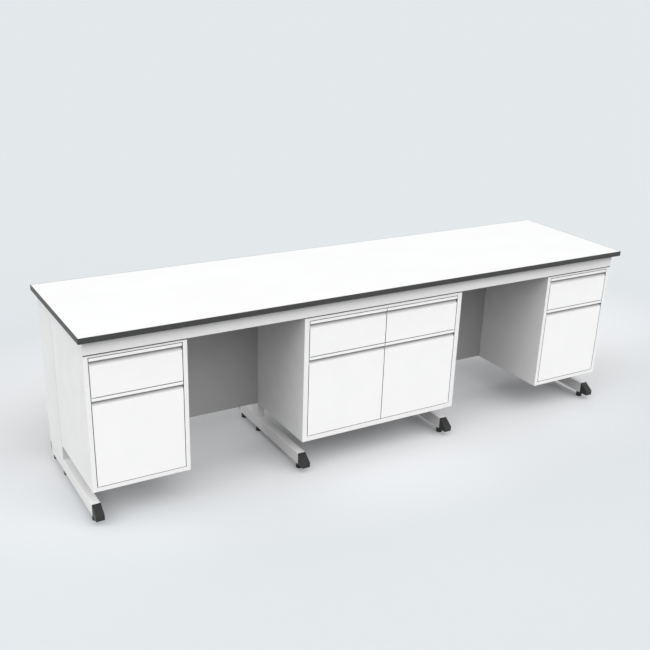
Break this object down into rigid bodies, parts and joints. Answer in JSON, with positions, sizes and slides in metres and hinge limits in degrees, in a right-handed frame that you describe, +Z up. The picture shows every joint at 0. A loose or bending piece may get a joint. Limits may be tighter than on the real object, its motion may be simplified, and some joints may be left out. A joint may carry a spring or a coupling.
{
  "type": "laboratory bench",
  "caption": "Steel-framed laboratory bench with a white worktop, dark edge, two knee spaces and suspended cabinets with drawers over doors",
  "frame": {"origin": "on the floor under the middle of the worktop", "axes": "+X along the bench to the right seen from the front, +Y to the back, +Z up"},
  "size_m": [3, 0.75, 0.9],
  "materials": {
    "worktop_white": "smooth matt white laminate",
    "edge_charcoal": "charcoal edge band, satin",
    "core_board": "dense dark board core",
    "frame_grey": "light grey powder-coated steel tube",
    "sheet_white": "white powder-coated steel sheet",
    "cabinet_white": "white melamine-faced board, matt",
    "front_white": "white lacquered board, satin",
    "drawer_grey": "pale grey powder-coated steel tray",
    "runner_zinc": "zinc-plated steel",
    "black_plastic": "black moulded plastic, fine grain",
    "foot_black": "black coated steel",
    "screw_zinc": "zinc-plated screw steel"
  },
  "bodies": {
    "bench": {"worktop_core": "core_board", "worktop_surface": "worktop_white", "edge_band": "edge_charcoal", "end_frame_left": "frame_grey", "inner_frame_left": "frame_grey", "inner_frame_right": "frame_grey", "end_frame_right": "frame_grey", "long_rails": "frame_grey", "support_rails": "frame_grey", "front_fascia": "sheet_white", "back_panels": "sheet_white", "service_covers": "sheet_white", "toe_caps": "black_plastic", "rail_rear_caps": "black_plastic", "left_cabinet_sides": "cabinet_white", "left_cabinet_bottom": "cabinet_white", "left_cabinet_top": "cabinet_white", "left_cabinet_back": "cabinet_white", "centre_cabinet_sides": "cabinet_white", "centre_cabinet_bottom": "cabinet_white", "centre_cabinet_top": "cabinet_white", "centre_cabinet_back": "cabinet_white", "right_cabinet_sides": "cabinet_white", "right_cabinet_bottom": "cabinet_white", "right_cabinet_top": "cabinet_white", "right_cabinet_back": "cabinet_white", "left_cabinet_shelf": "cabinet_white", "right_cabinet_shelf": "cabinet_white", "centre_cabinet_shelves": "cabinet_white", "centre_cabinet_partition": "cabinet_white", "cabinet_screws": "screw_zinc", "worktop_screws": "screw_zinc", "sheet_screws": "screw_zinc", "shelf_pins": "screw_zinc", "drawer_runners": "runner_zinc", "door_pivots_and_catches": "runner_zinc"},
    "drawer_left_body": {"drawer_left_front": "front_white", "drawer_left_box": "drawer_grey"},
    "drawer_centre_left_body": {"drawer_centre_left_front": "front_white", "drawer_centre_left_box": "drawer_grey"},
    "drawer_centre_right_body": {"drawer_centre_right_front": "front_white", "drawer_centre_right_box": "drawer_grey"},
    "drawer_right_body": {"drawer_right_front": "front_white", "drawer_right_box": "drawer_grey"},
    "door_left_body": {"door_left": "front_white"},
    "door_centre_left_body": {"door_centre_left": "front_white"},
    "door_centre_right_body": {"door_centre_right": "front_white"},
    "door_right_body": {"door_right": "front_white"},
    "foot_end_frame_left_front_body": {"foot_end_frame_left_front": "foot_black"},
    "foot_end_frame_left_middle_body": {"foot_end_frame_left_middle": "foot_black"},
    "foot_end_frame_left_rear_body": {"foot_end_frame_left_rear": "foot_black"},
    "foot_inner_frame_left_front_body": {"foot_inner_frame_left_front": "foot_black"},
    "foot_inner_frame_left_middle_body": {"foot_inner_frame_left_middle": "foot_black"},
    "foot_inner_frame_left_rear_body": {"foot_inner_frame_left_rear": "foot_black"},
    "foot_inner_frame_right_front_body": {"foot_inner_frame_right_front": "foot_black"},
    "foot_inner_frame_right_middle_body": {"foot_inner_frame_right_middle": "foot_black"},
    "foot_inner_frame_right_rear_body": {"foot_inner_frame_right_rear": "foot_black"},
    "foot_end_frame_right_front_body": {"foot_end_frame_right_front": "foot_black"},
    "foot_end_frame_right_middle_body": {"foot_end_frame_right_middle": "foot_black"},
    "foot_end_frame_right_rear_body": {"foot_end_frame_right_rear": "foot_black"}
  },
  "joints": [
    {"name": "drawer_left_slide", "type": "slide", "parent": "bench", "child": "drawer_left_body", "axis": [0, -1, 0], "range_m": [0, 0.3]},
    {"name": "drawer_centre_left_slide", "type": "slide", "parent": "bench", "child": "drawer_centre_left_body", "axis": [0, -1, 0], "range_m": [0, 0.3]},
    {"name": "drawer_centre_right_slide", "type": "slide", "parent": "bench", "child": "drawer_centre_right_body", "axis": [0, -1, 0], "range_m": [0, 0.3]},
    {"name": "drawer_right_slide", "type": "slide", "parent": "bench", "child": "drawer_right_body", "axis": [0, -1, 0], "range_m": [0, 0.3]},
    {"name": "door_left_hinge", "type": "hinge", "parent": "bench", "child": "door_left_body", "pos_m": [-1.444, -0.33, 0.4], "axis": [0, 0, -1], "range_deg": [0, 110]},
    {"name": "door_centre_left_hinge", "type": "hinge", "parent": "bench", "child": "door_centre_left_body", "pos_m": [-0.414, -0.33, 0.4], "axis": [0, 0, -1], "range_deg": [0, 110]},
    {"name": "door_centre_right_hinge", "type": "hinge", "parent": "bench", "child": "door_centre_right_body", "pos_m": [0.414, -0.33, 0.4], "axis": [0, 0, 1], "range_deg": [0, 110]},
    {"name": "door_right_hinge", "type": "hinge", "parent": "bench", "child": "door_right_body", "pos_m": [1.444, -0.33, 0.4], "axis": [0, 0, 1], "range_deg": [0, 110]},
    {"name": "foot_end_frame_left_front_screw", "type": "slide", "parent": "bench", "child": "foot_end_frame_left_front_body", "axis": [0, 0, -1], "range_m": [0, 0.015]},
    {"name": "foot_end_frame_left_middle_screw", "type": "slide", "parent": "bench", "child": "foot_end_frame_left_middle_body", "axis": [0, 0, -1], "range_m": [0, 0.015]},
    {"name": "foot_end_frame_left_rear_screw", "type": "slide", "parent": "bench", "child": "foot_end_frame_left_rear_body", "axis": [0, 0, -1], "range_m": [0, 0.015]},
    {"name": "foot_inner_frame_left_front_screw", "type": "slide", "parent": "bench", "child": "foot_inner_frame_left_front_body", "axis": [0, 0, -1], "range_m": [0, 0.015]},
    {"name": "foot_inner_frame_left_middle_screw", "type": "slide", "parent": "bench", "child": "foot_inner_frame_left_middle_body", "axis": [0, 0, -1], "range_m": [0, 0.015]},
    {"name": "foot_inner_frame_left_rear_screw", "type": "slide", "parent": "bench", "child": "foot_inner_frame_left_rear_body", "axis": [0, 0, -1], "range_m": [0, 0.015]},
    {"name": "foot_inner_frame_right_front_screw", "type": "slide", "parent": "bench", "child": "foot_inner_frame_right_front_body", "axis": [0, 0, -1], "range_m": [0, 0.015]},
    {"name": "foot_inner_frame_right_middle_screw", "type": "slide", "parent": "bench", "child": "foot_inner_frame_right_middle_body", "axis": [0, 0, -1], "range_m": [0, 0.015]},
    {"name": "foot_inner_frame_right_rear_screw", "type": "slide", "parent": "bench", "child": "foot_inner_frame_right_rear_body", "axis": [0, 0, -1], "range_m": [0, 0.015]},
    {"name": "foot_end_frame_right_front_screw", "type": "slide", "parent": "bench", "child": "foot_end_frame_right_front_body", "axis": [0, 0, -1], "range_m": [0, 0.015]},
    {"name": "foot_end_frame_right_middle_screw", "type": "slide", "parent": "bench", "child": "foot_end_frame_right_middle_body", "axis": [0, 0, -1], "range_m": [0, 0.015]},
    {"name": "foot_end_frame_right_rear_screw", "type": "slide", "parent": "bench", "child": "foot_end_frame_right_rear_body", "axis": [0, 0, -1], "range_m": [0, 0.015]}
  ]
}
